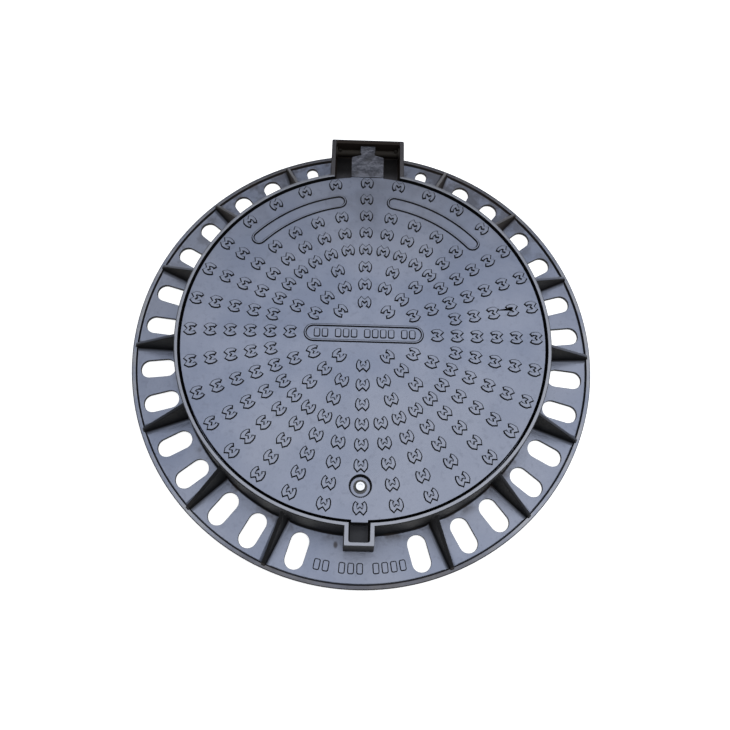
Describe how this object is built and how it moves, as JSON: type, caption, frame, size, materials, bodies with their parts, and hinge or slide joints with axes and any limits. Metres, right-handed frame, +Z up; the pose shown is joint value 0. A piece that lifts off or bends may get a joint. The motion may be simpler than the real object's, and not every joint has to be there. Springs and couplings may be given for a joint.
{
  "type": "manhole cover",
  "caption": "Round hinged manhole cover in a flanged cast iron frame, with anchor slots, ribs, a lifting pocket and a quarter-turn lock.",
  "frame": {"origin": "centre of the frame's underside, on the axis of the round opening", "axes": "+Z up, -Y to the lifting pocket at the front, +Y to the hinge box at the back, +X to the right"},
  "size_m": [0.85, 0.85, 0.1],
  "materials": {
    "black_cast_iron": "glossy black bitumen paint over a rough sand casting",
    "black_rubber": "matt moulded rubber",
    "greased_steel": "dark greased steel",
    "bright_steel": "plain stainless steel"
  },
  "bodies": {
    "frame": {"frame": "black_cast_iron", "seat_gasket": "black_rubber", "hinge_pin": "greased_steel", "hinge_washer_left": "greased_steel", "hinge_washer_right": "greased_steel", "split_pin_left": "greased_steel", "split_pin_right": "greased_steel"},
    "cover": {"cover": "black_cast_iron", "lock_seal_washer": "black_rubber"},
    "lock": {"lock_bolt": "bright_steel", "lock_washer": "bright_steel", "lock_spring_washer": "bright_steel", "lock_cam": "bright_steel", "lock_nut": "bright_steel"}
  },
  "joints": [
    {"name": "cover_hinge", "type": "hinge", "parent": "frame", "child": "cover", "pos_m": [0, 0.379, 0.0865], "axis": [-1, 0, 0], "range_deg": [0, 110]},
    {"name": "lock_turn", "type": "hinge", "parent": "cover", "child": "lock", "pos_m": [0, -0.264, 0.05], "axis": [0, 0, -1], "range_deg": [0, 90]}
  ]
}
